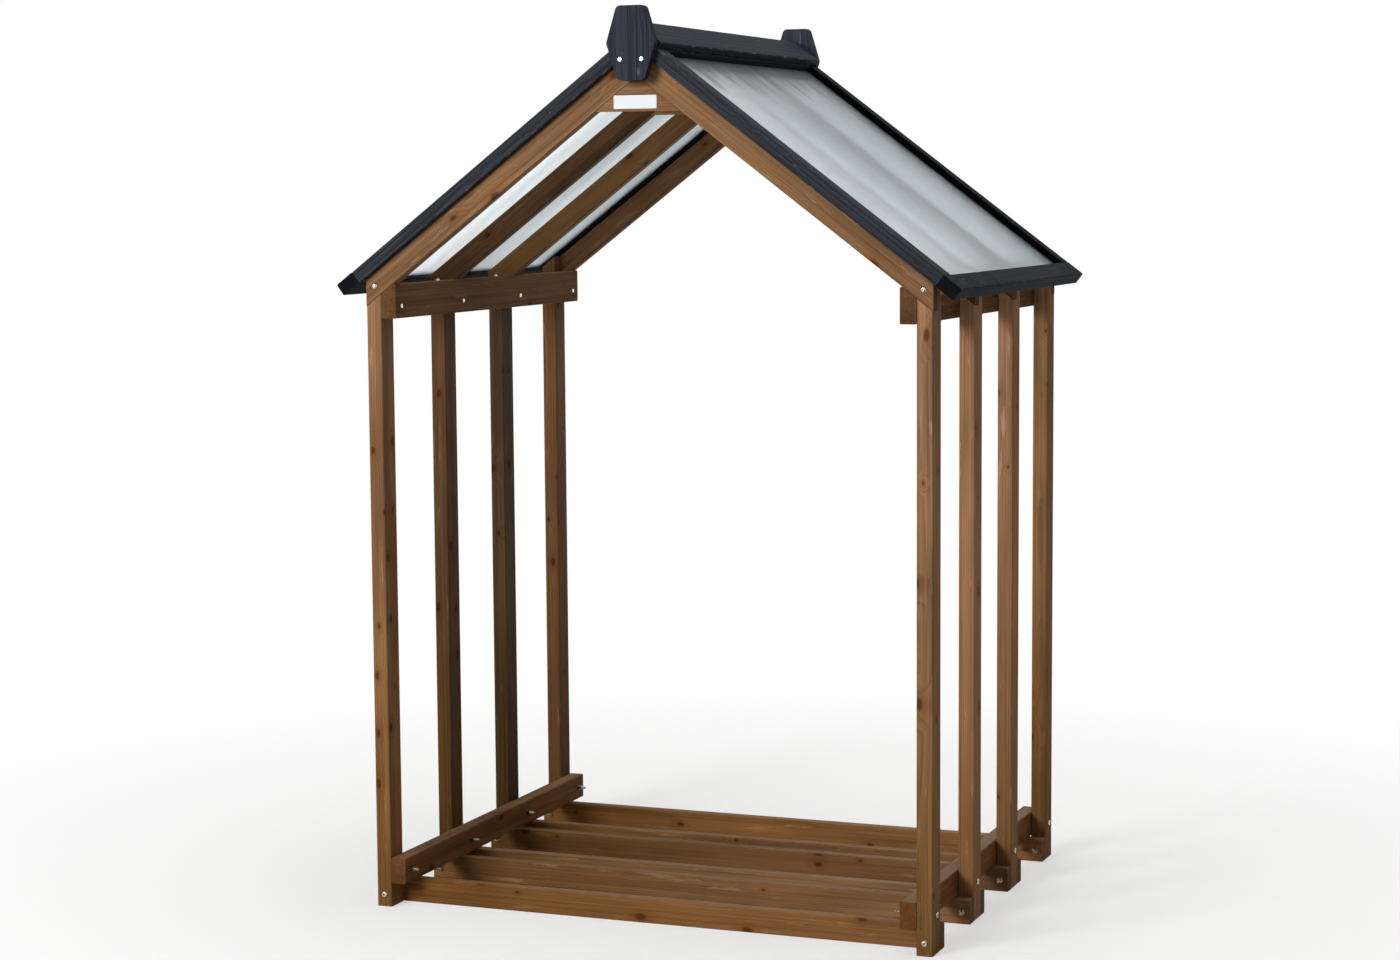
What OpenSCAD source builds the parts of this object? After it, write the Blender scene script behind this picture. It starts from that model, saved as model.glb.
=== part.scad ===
// Timber log store: an open frame with a pitched, translucent roof.
// Millimetres, +Z up, front towards -Y, origin at ground level in the middle of the footprint.

/* [Frame] */
// Width over the outer faces of the posts
frame_width = 1200; // [900:10:1800]
// Step from one post to the next along a side
post_pitch = 288; // [200:1:420]
// Post size across the store
post_thick = 33; // [24:1:60]
// Post size along the store
post_depth = 54; // [40:1:90]
// Height of the rafter seat at the outer face of a post
seat_height = 1244; // [800:1:1800]
// Radius of the eased long edges of all planed timbers
arris = 3; // [1:0.5:6]

/* [Rails and bearers] */
// Bottom rail size across the store
bottom_rail_thick = 33; // [20:1:60]
// Bottom rail height
bottom_rail_height = 54; // [30:1:100]
// Top rail size across the store
top_rail_thick = 33; // [20:1:60]
// Top rail height at its inner face
top_rail_height = 74; // [60:1:140]
// Bearer size along the store
bearer_thick = 27; // [18:1:60]
// Bearer height
bearer_height = 50; // [30:1:100]

/* [Rafters] */
// Slope of the roof in degrees
roof_pitch = 37; // [25:0.5:45]
// Rafter size along the store, which is also the depth of the notch in the post head
rafter_thick = 27; // [15:1:36]
// Rafter depth, square to the slope
rafter_depth = 44; // [30:1:90]
// Height of the gusset under the joint of two rafters
gusset_height = 67; // [40:1:150]

/* [Roof frame] */
// Thickness of the verge, eave and head boards, square to the slope
trim_thick = 27; // [26:1:45]
// Width of the verge boards
verge_width = 44; // [25:1:90]
// Width of the eave boards
eave_width = 44; // [25:1:90]
// Width of the head boards under the ridge
head_width = 44; // [25:1:90]
// Reach of the verges past the posts, front and rear
verge_overhang = 14; // [0:1:60]
// Reach of the upper eave edge past the posts
eave_overhang = 60; // [20:1:140]
// Roof sheet thickness
sheet_thick = 4; // [2:0.5:6]
// Height of the sheet above the rafters
sheet_lift = 17; // [6:0.5:19]
// Depth of the groove that holds the sheet
groove_depth = 10; // [4:1:18]
// Gap between the sheet and its groove on every side
groove_clear = 0.3; // [0.1:0.1:1]

/* [Ridge and finials] */
// Width of a ridge board on its underside
ridge_board_width = 61; // [40:1:120]
// Thickness of a ridge board
ridge_board_thick = 14; // [8:1:30]
// Finial height
finial_height = 144; // [110:1:220]
// Height of the widest line of the finial above its bottom edge
finial_waist_height = 72; // [50:1:100]
// Width of the finial at its top edge
finial_top_width = 58; // [40:1:90]
// Width of the finial at its widest line
finial_waist_width = 102; // [80:1:160]
// Width of the finial at its bottom edge
finial_bottom_width = 56; // [40:1:90]
// Corner radius of the finial
finial_radius = 11; // [3:1:15]
// Finial thickness
finial_thick = 18; // [8:1:40]
// Reach of the finial above the ridge boards
finial_rise = 29; // [5:1:80]

/* [Hidden] */
$fn = 48;
// Reach of a cutting shape past the face it cuts
overcut = 5;
half_width = frame_width / 2;
post_count = 4;
half_depth = ((post_count - 1) * post_pitch + post_depth) / 2;
roof_half = half_depth + verge_overhang;
rail_face = half_width - post_thick;
slope_tan = tan(roof_pitch);
rafter_rise = rafter_depth / cos(roof_pitch);
apex_height = seat_height + half_width * slope_tan + rafter_rise;
slope_end = (half_width + eave_overhang - trim_thick * sin(roof_pitch)) / cos(roof_pitch);
verge_end = slope_end - eave_width;
sheet_half = roof_half - verge_width + groove_depth;
sheet_start = head_width - groove_depth;
sheet_end = verge_end + groove_depth;
ridge_thick = trim_thick + ridge_board_thick;
ridge_height = apex_height + ridge_thick / cos(roof_pitch);
ridge_edge = ridge_board_width - trim_thick * slope_tan;
finial_top = ridge_height + finial_rise;
stain = [0.62, 0.45, 0.30];
paint = [0.16, 0.18, 0.20];
frost = [0.86, 0.89, 0.91];

// Front face of post i, counted from the front
function post_y(i) = i * post_pitch - half_depth;

// Front face of rafter i: flush with the front of its post, and with the back of the last one
function rafter_y(i) = post_y(i) + (i == post_count - 1 ? post_depth - rafter_thick : 0);

// Height of the rafter underside and of the rafter top at a distance x from the middle
function seat_z(x) = seat_height + (half_width - x) * slope_tan;
function top_z(x) = seat_z(x) + rafter_rise;

// Draws a profile of the X-Z plane out along Y, from y0 to y1
module along(y0, y1) {
    translate([0, y1, 0])
        rotate([90, 0, 0])
            linear_extrude(height = y1 - y0)
                children();
}

// Places a shape on the right slope: X runs down the slope, Z stands square to it
module on_slope() {
    translate([0, 0, apex_height])
        rotate([0, roof_pitch, 0])
            children();
}

module other_side() {
    mirror([1, 0, 0])
        children();
}

// Rounding of a convex outline: the unit step from one corner to another, half the angle at a corner,
// the middle of its rounding and the point where the rounding runs into the side
function unit_step(a, b) = (b - a) / norm(b - a);
function corner_half(a, b, c) = acos(unit_step(b, a) * unit_step(b, c)) / 2;
function corner_bisector(a, b, c) = unit_step([0, 0], unit_step(b, a) + unit_step(b, c));
function corner_mid(a, b, c, r) = b + corner_bisector(a, b, c) * r / sin(corner_half(a, b, c));
function corner_cut(a, b, c, r) = b + unit_step(b, a) * r / tan(corner_half(a, b, c));
function before(p, i) = p[(i + len(p) - 1) % len(p)];
function after(p, i) = p[(i + 1) % len(p)];

// A convex outline with a radius for each corner, or none where the radius is 0
module eased_outline(p, r) {
    polygon([for (i = [0 : len(p) - 1])
        each r[i] == 0 ? [p[i]]
            : [corner_cut(before(p, i), p[i], after(p, i), r[i]),
                corner_cut(after(p, i), p[i], before(p, i), r[i])]]);
    for (i = [0 : len(p) - 1])
        if (r[i] > 0)
            translate(corner_mid(before(p, i), p[i], after(p, i), r[i]))
                circle(r = r[i]);
}

// The section of a planed timber
module planed(w, h) {
    eased_outline([[0, 0], [w, 0], [w, h], [0, h]], [arris, arris, arris, arris]);
}

// Draws a section of the Y-Z plane out along X, from x0 to x1
module lengthways(x0, x1) {
    translate([x0, 0, 0])
        rotate([90, 0, 90])
            linear_extrude(height = x1 - x0)
                children();
}

// The right half of the store, down to the plumb line under the ridge, as wide as asked
module right_half(width) {
    translate([0, -roof_half - overcut, 0])
        cube([width, 2 * (roof_half + overcut), finial_top]);
}

// A post with its notched head: the seat takes the rafter heel, the tongue stands beside it
module post(i) {
    y = post_y(i);
    notch = rafter_y(i);
    in_front = notch > y ? 0 : overcut;
    behind = notch > y ? overcut : 0;
    inner = rail_face - overcut;
    outer = half_width + overcut;
    crown = top_z(inner) + overcut;
    difference() {
        translate([rail_face, y, 0])
            linear_extrude(height = top_z(rail_face) + overcut)
                planed(post_thick, post_depth);
        along(y - overcut, y + post_depth + overcut)
            polygon([[inner, top_z(inner)], [outer, top_z(outer)], [outer, crown], [inner, crown]]);
        along(notch - in_front, notch + rafter_thick + behind)
            polygon([[inner, seat_z(inner)], [outer, seat_z(outer)], [outer, crown], [inner, crown]]);
    }
}

module bottom_rail() {
    along(-half_depth, half_depth)
        translate([rail_face - bottom_rail_thick, bearer_height])
            planed(bottom_rail_thick, bottom_rail_height);
}

// A top rail with its upper edge bevelled to carry the rafters
module top_rail() {
    inner = rail_face - top_rail_thick;
    foot = seat_z(inner) - top_rail_height;
    along(-half_depth, half_depth)
        eased_outline([[inner, foot], [rail_face, foot], [rail_face, seat_z(rail_face)], [inner, seat_z(inner)]],
            [arris, arris, arris, arris]);
}

// A bearer across the store, with its front face at y
module bearer(y) {
    lengthways(-half_width, half_width)
        translate([y, 0])
            planed(bearer_thick, bearer_height);
}

// A rafter, cut plumb at the ridge and at the outer face of the posts
module rafter(i) {
    heel = (half_width + rafter_depth * sin(roof_pitch)) / cos(roof_pitch);
    intersection() {
        on_slope()
            lengthways(-overcut, heel + overcut)
                translate([rafter_y(i), -rafter_depth])
                    planed(rafter_thick, rafter_depth);
        right_half(half_width);
    }
}

// A gusset flush between the two rafters of a pair
module gusset(i) {
    foot = seat_z(0) - gusset_height;
    reach = gusset_height / slope_tan;
    along(rafter_y(i), rafter_y(i) + rafter_thick)
        polygon([[-reach, foot], [reach, foot], [0, seat_z(0)]]);
}

// The room that the sheet takes in the boards round it
module sheet_pocket() {
    translate([sheet_start - groove_clear, -sheet_half - groove_clear, sheet_lift - groove_clear])
        cube([sheet_end - sheet_start + 2 * groove_clear, 2 * (sheet_half + groove_clear),
            sheet_thick + 2 * groove_clear]);
}

module roof_sheet() {
    on_slope()
        translate([sheet_start, -sheet_half, sheet_lift])
            cube([sheet_end - sheet_start, 2 * sheet_half, sheet_thick]);
}

// A verge board with its front edge at y, cut plumb at the ridge and square at the eave board
module verge(y) {
    intersection() {
        on_slope()
            difference() {
                lengthways(-ridge_thick, verge_end)
                    translate([y, 0])
                        planed(verge_width, trim_thick);
                sheet_pocket();
            }
        right_half(half_width + eave_overhang);
    }
}

module head_board() {
    on_slope()
        difference() {
            along(verge_width - roof_half, roof_half - verge_width)
                eased_outline([[0, 0], [head_width, 0], [head_width, trim_thick],
                    [-trim_thick * slope_tan, trim_thick]], [0, arris, arris, 0]);
            sheet_pocket();
        }
}

module eave_board() {
    on_slope()
        difference() {
            along(-roof_half, roof_half)
                translate([verge_end, 0])
                    planed(eave_width, trim_thick);
            sheet_pocket();
        }
}

// A ridge board, mitred to the other one over the plumb line of the ridge
module ridge_board() {
    on_slope()
        along(-roof_half, roof_half)
            eased_outline([[-trim_thick * slope_tan, trim_thick], [ridge_edge, trim_thick],
                [ridge_edge, ridge_thick], [-ridge_thick * slope_tan, ridge_thick]], [0, arris, arris, 0]);
}

// A finial plaque with its front face at y
module finial(y) {
    foot = finial_top - finial_height;
    waist = foot + finial_waist_height;
    along(y, y + finial_thick)
        eased_outline([[-finial_bottom_width / 2, foot], [finial_bottom_width / 2, foot],
            [finial_waist_width / 2, waist], [finial_top_width / 2, finial_top],
            [-finial_top_width / 2, finial_top], [-finial_waist_width / 2, waist]],
            [for (corner = [1 : 6]) finial_radius]);
}

module left_post_1() { color(stain) other_side() post(0); }
module left_post_2() { color(stain) other_side() post(1); }
module left_post_3() { color(stain) other_side() post(2); }
module left_post_4() { color(stain) other_side() post(3); }
module right_post_1() { color(stain) post(0); }
module right_post_2() { color(stain) post(1); }
module right_post_3() { color(stain) post(2); }
module right_post_4() { color(stain) post(3); }
module left_bottom_rail() { color(stain) other_side() bottom_rail(); }
module right_bottom_rail() { color(stain) bottom_rail(); }
module left_top_rail() { color(stain) other_side() top_rail(); }
module right_top_rail() { color(stain) top_rail(); }
module bearer_1() { color(stain) bearer(post_y(0) + post_depth); }
module bearer_2() { color(stain) bearer(post_y(1) - bearer_thick); }
module bearer_3() { color(stain) bearer(post_y(1) + post_depth); }
module bearer_4() { color(stain) bearer(post_y(2) - bearer_thick); }
module bearer_5() { color(stain) bearer(post_y(2) + post_depth); }
module bearer_6() { color(stain) bearer(post_y(3) - bearer_thick); }
module left_rafter_1() { color(stain) other_side() rafter(0); }
module left_rafter_2() { color(stain) other_side() rafter(1); }
module left_rafter_3() { color(stain) other_side() rafter(2); }
module left_rafter_4() { color(stain) other_side() rafter(3); }
module right_rafter_1() { color(stain) rafter(0); }
module right_rafter_2() { color(stain) rafter(1); }
module right_rafter_3() { color(stain) rafter(2); }
module right_rafter_4() { color(stain) rafter(3); }
module gusset_1() { color(stain) gusset(0); }
module gusset_2() { color(stain) gusset(1); }
module gusset_3() { color(stain) gusset(2); }
module gusset_4() { color(stain) gusset(3); }
module left_front_verge() { color(paint) other_side() verge(-roof_half); }
module right_front_verge() { color(paint) verge(-roof_half); }
module left_rear_verge() { color(paint) other_side() verge(roof_half - verge_width); }
module right_rear_verge() { color(paint) verge(roof_half - verge_width); }
module left_eave_board() { color(paint) other_side() eave_board(); }
module right_eave_board() { color(paint) eave_board(); }
module left_head_board() { color(paint) other_side() head_board(); }
module right_head_board() { color(paint) head_board(); }
module left_roof_sheet() { color(frost) other_side() roof_sheet(); }
module right_roof_sheet() { color(frost) roof_sheet(); }
module left_ridge_board() { color(paint) other_side() ridge_board(); }
module right_ridge_board() { color(paint) ridge_board(); }
module front_finial() { color(paint) finial(-roof_half - finial_thick); }
module rear_finial() { color(paint) finial(roof_half); }

left_post_1();
left_post_2();
left_post_3();
left_post_4();
right_post_1();
right_post_2();
right_post_3();
right_post_4();
left_bottom_rail();
right_bottom_rail();
left_top_rail();
right_top_rail();
bearer_1();
bearer_2();
bearer_3();
bearer_4();
bearer_5();
bearer_6();
left_rafter_1();
left_rafter_2();
left_rafter_3();
left_rafter_4();
right_rafter_1();
right_rafter_2();
right_rafter_3();
right_rafter_4();
gusset_1();
gusset_2();
gusset_3();
gusset_4();
left_front_verge();
right_front_verge();
left_rear_verge();
right_rear_verge();
left_eave_board();
right_eave_board();
left_head_board();
right_head_board();
left_roof_sheet();
right_roof_sheet();
left_ridge_board();
right_ridge_board();
front_finial();
rear_finial();
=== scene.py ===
# %% [markdown]
# # A timber log store, dressed in Blender
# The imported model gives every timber, board and sheet its true size and place. This lesson dresses those
# solids: stained softwood with rings and knots, black painted roof boards, frosted roof sheets, zinc
# fasteners and a bare white plate. Everything stays in metres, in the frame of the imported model.

# %% Load the frame
import math
import random

import bmesh
import bpy
from mathutils import Matrix, Vector


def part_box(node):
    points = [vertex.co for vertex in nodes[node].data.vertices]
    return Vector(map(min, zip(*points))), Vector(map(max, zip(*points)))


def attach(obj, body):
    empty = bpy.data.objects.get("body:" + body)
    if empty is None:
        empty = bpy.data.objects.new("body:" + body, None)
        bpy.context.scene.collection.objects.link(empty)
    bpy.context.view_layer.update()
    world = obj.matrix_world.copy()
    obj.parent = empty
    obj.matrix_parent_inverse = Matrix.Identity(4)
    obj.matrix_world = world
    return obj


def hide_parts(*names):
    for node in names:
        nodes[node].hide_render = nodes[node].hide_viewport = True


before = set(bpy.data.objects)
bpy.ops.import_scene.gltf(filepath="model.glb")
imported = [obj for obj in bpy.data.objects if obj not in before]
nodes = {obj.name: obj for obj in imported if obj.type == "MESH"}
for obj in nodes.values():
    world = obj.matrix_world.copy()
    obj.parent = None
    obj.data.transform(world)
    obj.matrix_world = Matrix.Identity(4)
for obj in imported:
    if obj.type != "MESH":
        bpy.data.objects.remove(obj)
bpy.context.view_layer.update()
scene = bpy.context.scene

# %% [markdown]
# ## Camera
# The picture was taken from the right of the front gable, a little below the roof. A camera could be aimed
# by eye, but here its place, its three angles and its lens were fitted to edges of the frame, so that every
# timber falls where the picture shows it and no shift of the lens is needed.

# %% Camera
CAMERA_AT = Vector((2.1652, -5.6881, 1.4817))
CAMERA_TURN = math.radians(21.307)
CAMERA_DIP = math.radians(5.805)
CAMERA_ROLL = math.radians(-0.404)
PICTURE_WIDTH = 1400
FOCAL_PIXELS = 2884.2
SENSOR_WIDTH = 36.0


def camera_axes(turn, dip, roll):
    ahead = Vector((-math.sin(turn) * math.cos(dip), math.cos(turn) * math.cos(dip), -math.sin(dip)))
    level = Vector((math.cos(turn), math.sin(turn), 0.0))
    upright = level.cross(ahead)
    right = level * math.cos(roll) + upright * math.sin(roll)
    up = upright * math.cos(roll) - level * math.sin(roll)
    return right, up, ahead


right, up, ahead = camera_axes(CAMERA_TURN, CAMERA_DIP, CAMERA_ROLL)
camera_data = bpy.data.cameras.new("picture_camera")
camera_data.sensor_fit = "HORIZONTAL"
camera_data.sensor_width = SENSOR_WIDTH
camera_data.lens = FOCAL_PIXELS / PICTURE_WIDTH * SENSOR_WIDTH
camera = bpy.data.objects.new("picture_camera", camera_data)
turned = Matrix((right, up, -ahead)).transposed().to_4x4()
camera.matrix_world = Matrix.Translation(CAMERA_AT) @ turned
scene.collection.objects.link(camera)
scene.camera = camera
print("lens", round(camera_data.lens, 2), "mm")

# %% [markdown]
# ## Helpers for node trees
# Shader trees and geometry trees are both built from nodes and links. A few short helpers add a node with
# its settings and connect its sockets, so that each recipe below reads as a list of steps. An input is named
# by its label, or by its number (i0, i1) where labels repeat.

# %% Node helpers
def socket_of(node, name):
    if name[0] == "i" and name[1:].isdigit():
        return node.inputs[int(name[1:])]
    return node.inputs[name.replace("_", " ")]


def plug(tree, value, socket):
    if isinstance(value, bpy.types.NodeSocket):
        tree.links.new(value, socket)
    else:
        socket.default_value = value


def add(tree, kind, settings=None, **inputs):
    node = tree.nodes.new(kind)
    for name, value in (settings or {}).items():
        setattr(node, name, value)
    for name, value in inputs.items():
        plug(tree, value, socket_of(node, name))
    return node


def math_node(tree, operation, a, b=0.0, c=0.0, clamp=False):
    settings = {"operation": operation, "use_clamp": clamp}
    return add(tree, "ShaderNodeMath", settings, i0=a, i1=b, i2=c).outputs[0]


def vector_node(tree, operation, a, b=(0.0, 0.0, 0.0)):
    return add(tree, "ShaderNodeVectorMath", {"operation": operation}, i0=a, i1=b).outputs[0]


def split(tree, vector):
    return add(tree, "ShaderNodeSeparateXYZ", None, i0=vector).outputs


def join(tree, x=0.0, y=0.0, z=0.0):
    return add(tree, "ShaderNodeCombineXYZ", None, X=x, Y=y, Z=z).outputs[0]


print("node helpers ready")

# %% [markdown]
# ## Helpers for shading
# Most finishes come down to three moves: turn a value into a soft step, mix two colours by it, and make
# noise. Noise that is stretched along the board gives streaks, and unstretched noise gives spots.

# %% Shading helpers
def fade(tree, value, low, high, to_low=0.0, to_high=1.0):
    node = add(tree, "ShaderNodeMapRange", {"interpolation_type": "SMOOTHSTEP"}, Value=value,
               From_Min=low, From_Max=high, To_Min=to_low, To_Max=to_high)
    return node.outputs[0]


def colour_mix(tree, factor, a, b, blend="MIX"):
    settings = {"data_type": "RGBA", "blend_type": blend, "clamp_factor": True}
    return add(tree, "ShaderNodeMix", settings, i0=factor, i6=a, i7=b).outputs[2]


def overlay(tree, colour, mask, strength, over):
    return colour_mix(tree, math_node(tree, "MULTIPLY", mask, strength), colour, over)


def noise(tree, place, scale=1.0, detail=2.0, rough=0.5):
    node = add(tree, "ShaderNodeTexNoise", {"noise_dimensions": "3D"}, Vector=place, Scale=scale,
               Detail=detail, Roughness=rough)
    return node.outputs[0]


def stretched_noise(tree, place, stretch, detail=2.0, rough=0.5):
    return noise(tree, vector_node(tree, "MULTIPLY", place, stretch), 1.0, detail, rough)


def new_group(name, takes, gives):
    group = bpy.data.node_groups.new(name, "ShaderNodeTree")
    for label, kind, value in takes:
        socket = group.interface.new_socket(label, in_out="INPUT", socket_type="NodeSocket" + kind)
        if value is not None:
            socket.default_value = value
    for label, kind in gives:
        group.interface.new_socket(label, in_out="OUTPUT", socket_type="NodeSocket" + kind)
    return group, group.nodes.new("NodeGroupInput").outputs, group.nodes.new("NodeGroupOutput").inputs


print("shading helpers ready")

# %% [markdown]
# ## Knots
# A knot is a branch that runs slantwise through the board. Knots could be painted one by one, but scattered
# cells give them all at once: each cell draws a chance, only some grow a knot, and its heart, its red halo
# and the swelling of the rings round it are three widths of the same distance. The cells slide with the
# depth, so that a knot comes out at another place on the other face.

# %% Knot fields
KNOT_CELLS = (8.5, 15.0, 0.0)
KNOT_SLANT = 0.9
KNOT_RARITY = 0.42
KNOT_GROWTH = 0.27
HEART_FULL = 0.35
HALO_REACH = 2.6
SWELL_REACH, SWELL_LEAST, SWELL_FULL = 3.5, 0.08, 0.02


def knot_fields(group, place, knots):
    spot = split(group, place)
    slant = math_node(group, "MULTIPLY_ADD", spot[2], KNOT_SLANT, spot[1])
    cells = vector_node(group, "MULTIPLY", join(group, spot[0], slant), KNOT_CELLS)
    settings = {"feature": "F1", "voronoi_dimensions": "2D"}
    cell = add(group, "ShaderNodeTexVoronoi", settings, Vector=cells, Scale=1.0).outputs
    away = cell["Distance"]
    chance = add(group, "ShaderNodeSeparateColor", None, Color=cell["Color"]).outputs[0]
    lucky = math_node(group, "SUBTRACT", chance, KNOT_RARITY, clamp=True)
    size = math_node(group, "MULTIPLY", lucky, KNOT_GROWTH)
    heart = fade(group, away, size, math_node(group, "MULTIPLY", size, HEART_FULL))
    halo = fade(group, away, math_node(group, "MULTIPLY", size, HALO_REACH), size)
    swell_edge = math_node(group, "MULTIPLY_ADD", size, SWELL_REACH, SWELL_LEAST)
    swell = fade(group, away, swell_edge, SWELL_FULL)
    return [math_node(group, "MULTIPLY", field, knots) for field in (heart, halo, swell)]


print("knot cells per metre", KNOT_CELLS[:2])

# %% [markdown]
# ## Grain
# Softwood shows yearly rings. Stripes could be painted on each face, but a solid pattern is simpler: rings
# are circles round a pith line beside the board, so faces show stripes and arches and ends show arcs, all
# from one formula. Each board brings its own coordinates (length, width, thickness), a seed that turns the
# pith round the board, and a place that is shifted by the seed, so that no two boards are alike.

# %% Grain group
PITH_AWAY = 0.055
PITH_TURN = 40.0
WANDER_BEND, KNOT_BEND = 0.012, 0.007
LATE_SHARPNESS, LATE_ENDS = 2.2, 0.9
WANDER_STRETCH = (1.3, 5.0, 5.0)
FIBRE_STRETCH = (5.0, 420.0, 420.0)
PATCH_STRETCH = (2.2, 17.0, 17.0)
STREAK_STRETCH = (1.2, 190.0, 190.0)
STREAK_SHARE, PATCH_SHARE = 0.45, 0.55
RING_RELIEF, FIBRE_RELIEF = 0.6, 0.5


def ring_field(group, take, swell):
    angle = math_node(group, "MULTIPLY", take["Seed"], PITH_TURN)
    across = split(group, take["Board"])
    squares = []
    for side, wave in ((across[1], "SINE"), (across[2], "COSINE")):
        pith = math_node(group, "MULTIPLY", math_node(group, wave, angle), PITH_AWAY)
        gap = math_node(group, "ADD", side, pith)
        squares.append(math_node(group, "MULTIPLY", gap, gap))
    reach = math_node(group, "SQRT", math_node(group, "ADD", *squares))
    wander = stretched_noise(group, take["Place"], WANDER_STRETCH)
    bent = math_node(group, "MULTIPLY_ADD", wander, WANDER_BEND, reach)
    bent = math_node(group, "MULTIPLY_ADD", swell, KNOT_BEND, bent)
    year = math_node(group, "FRACT", math_node(group, "DIVIDE", bent, take["Ring"]))
    late = math_node(group, "POWER", year, LATE_SHARPNESS)
    return math_node(group, "MULTIPLY", late, fade(group, year, 1.0, LATE_ENDS))


def grain_group():
    group, take, give = new_group(
        "board_grain",
        (("Board", "Vector", None), ("Place", "Vector", None), ("Seed", "Float", 0.5),
         ("Ring", "Float", 0.004), ("Knots", "Float", 1.0)),
        (("Rings", "Float"), ("Fibre", "Float"), ("Blotch", "Float"), ("Knot", "Float"), ("Halo", "Float"),
         ("Height", "Float")))
    place = take["Place"]
    knot, halo, swell = knot_fields(group, place, take["Knots"])
    rings = ring_field(group, take, swell)
    fibre = stretched_noise(group, place, FIBRE_STRETCH, detail=3.0, rough=0.6)
    patchy = stretched_noise(group, place, PATCH_STRETCH, detail=3.0, rough=0.55)
    streaky = stretched_noise(group, place, STREAK_STRETCH, detail=3.0, rough=0.62)
    patches = math_node(group, "MULTIPLY", patchy, PATCH_SHARE)
    blotch = math_node(group, "MULTIPLY_ADD", streaky, STREAK_SHARE, patches)
    fibres = math_node(group, "MULTIPLY", fibre, FIBRE_RELIEF)
    height = math_node(group, "MULTIPLY_ADD", rings, RING_RELIEF, fibres)
    made = {"Rings": rings, "Fibre": fibre, "Blotch": blotch, "Knot": knot, "Halo": halo, "Height": height}
    for name, value in made.items():
        group.links.new(value, give[name])
    return group


GRAIN = grain_group()
print("grain group", len(GRAIN.nodes), "nodes")

# %% [markdown]
# ## Edge wear
# Paint and stain wear first along the eased edges. The edges could be picked out by the curvature of the
# mesh, but board coordinates are enough: the distance to the nearest long edge is the larger of the two gaps
# to the sides, so wear is a thin band there, broken up by noise.

# %% Wear group
WEAR_STRETCH = (26.0, 90.0, 90.0)
WEAR_SOFTNESS = 0.12


def wear_group():
    group, take, give = new_group(
        "edge_wear",
        (("Board", "Vector", None), ("Half", "Vector", None), ("Width", "Float", 0.004),
         ("Break", "Float", 0.5)),
        (("Wear", "Float"),))
    place = split(group, vector_node(group, "ABSOLUTE", take["Board"]))
    half = split(group, take["Half"])
    gap_v = math_node(group, "SUBTRACT", half[0], place[1])
    gap_w = math_node(group, "SUBTRACT", half[1], place[2])
    edge = fade(group, math_node(group, "MAXIMUM", gap_v, gap_w), take["Width"], 0.0)
    spots = stretched_noise(group, take["Board"], WEAR_STRETCH, detail=4.0, rough=0.65)
    broken = fade(group, spots, take["Break"], math_node(group, "ADD", take["Break"], WEAR_SOFTNESS))
    group.links.new(math_node(group, "MULTIPLY", edge, broken), give["Wear"])
    return group


WEAR = wear_group()
print("wear group", len(WEAR.nodes), "nodes")

# %% [markdown]
# ## What a material reads
# Both wood finishes start alike. They read the attributes of the board, shift its place by its seed, feed
# the grain and the wear, take the tone of the board, and end in a base colour, a roughness and a shallow
# relief. The relief could be cut into the mesh, but planed grain is so fine that a bump is enough.

# %% Board inputs of a material
GRAIN_DEPTH = 0.0008
SEED_SHIFTS = (31.0, 7.0, 3.0)


def start_material(name):
    material = bpy.data.materials.new(name)
    material.use_nodes = True
    tree = material.node_tree
    return material, tree, tree.nodes["Principled BSDF"]


def read(tree, name):
    settings = {"attribute_type": "GEOMETRY", "attribute_name": name}
    return add(tree, "ShaderNodeAttribute", settings).outputs


def board_inputs(tree, ring, knots):
    board = read(tree, "board")["Vector"]
    section = read(tree, "section")["Vector"]
    seed = split(tree, section)[2]
    shift = join(tree, *(math_node(tree, "MULTIPLY", seed, step) for step in SEED_SHIFTS))
    place = vector_node(tree, "ADD", board, shift)
    grain = add(tree, "ShaderNodeGroup", {"node_tree": GRAIN}, Board=board, Place=place, Seed=seed,
                Ring=ring, Knots=knots)
    wear = add(tree, "ShaderNodeGroup", {"node_tree": WEAR}, Board=board, Half=section)
    return place, grain.outputs, wear


# the tone holds the board's own colour and, on some boards, painted shade and light as well
def toned(tree, colour):
    return colour_mix(tree, 1.0, colour, read(tree, "tone")["Color"], "MULTIPLY")


def wood_surface(tree, shader, colour, roughness, specular, relief, height):
    tree.links.new(colour, shader.inputs["Base Color"])
    tree.links.new(roughness, shader.inputs["Roughness"])
    shader.inputs["Specular IOR Level"].default_value = specular
    bump = add(tree, "ShaderNodeBump", None, Strength=relief, Distance=GRAIN_DEPTH, Height=height)
    tree.links.new(bump.outputs[0], shader.inputs["Normal"])


print("attribute readers ready")

# %% [markdown]
# ## Stained timber
# The frame is planed softwood under a thin brown stain. Early wood is paler and late wood darker, knots are
# red-brown with a dark heart, splinters have left pale flecks, sawn ends are dark, and faces that look up
# have faded. A picture of wood could be wrapped round each timber, but it would repeat and show seams. Here
# each mark is one layer over the last, and every board has its own tone, because no two take stain alike. On
# some boards that tone also carries painted shade and light.

# %% Stained timber
EARLY_WOOD, LATE_WOOD = (0.300, 0.152, 0.064, 1.0), (0.135, 0.060, 0.022, 1.0)
PALE_FLECK, RUBBED_EDGE = (0.46, 0.28, 0.14, 1.0), (0.40, 0.26, 0.15, 1.0)
KNOT_HALO, KNOT_HEART = (0.215, 0.072, 0.020, 1.0), (0.062, 0.021, 0.007, 1.0)
SAWN_END, FADED_TOP = (0.060, 0.026, 0.010, 1.0), (0.235, 0.158, 0.096, 1.0)
TIMBER_RING, TIMBER_KNOTS = 0.0036, 1.0
FLECK_STRETCH = (9.0, 75.0, 75.0)


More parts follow.
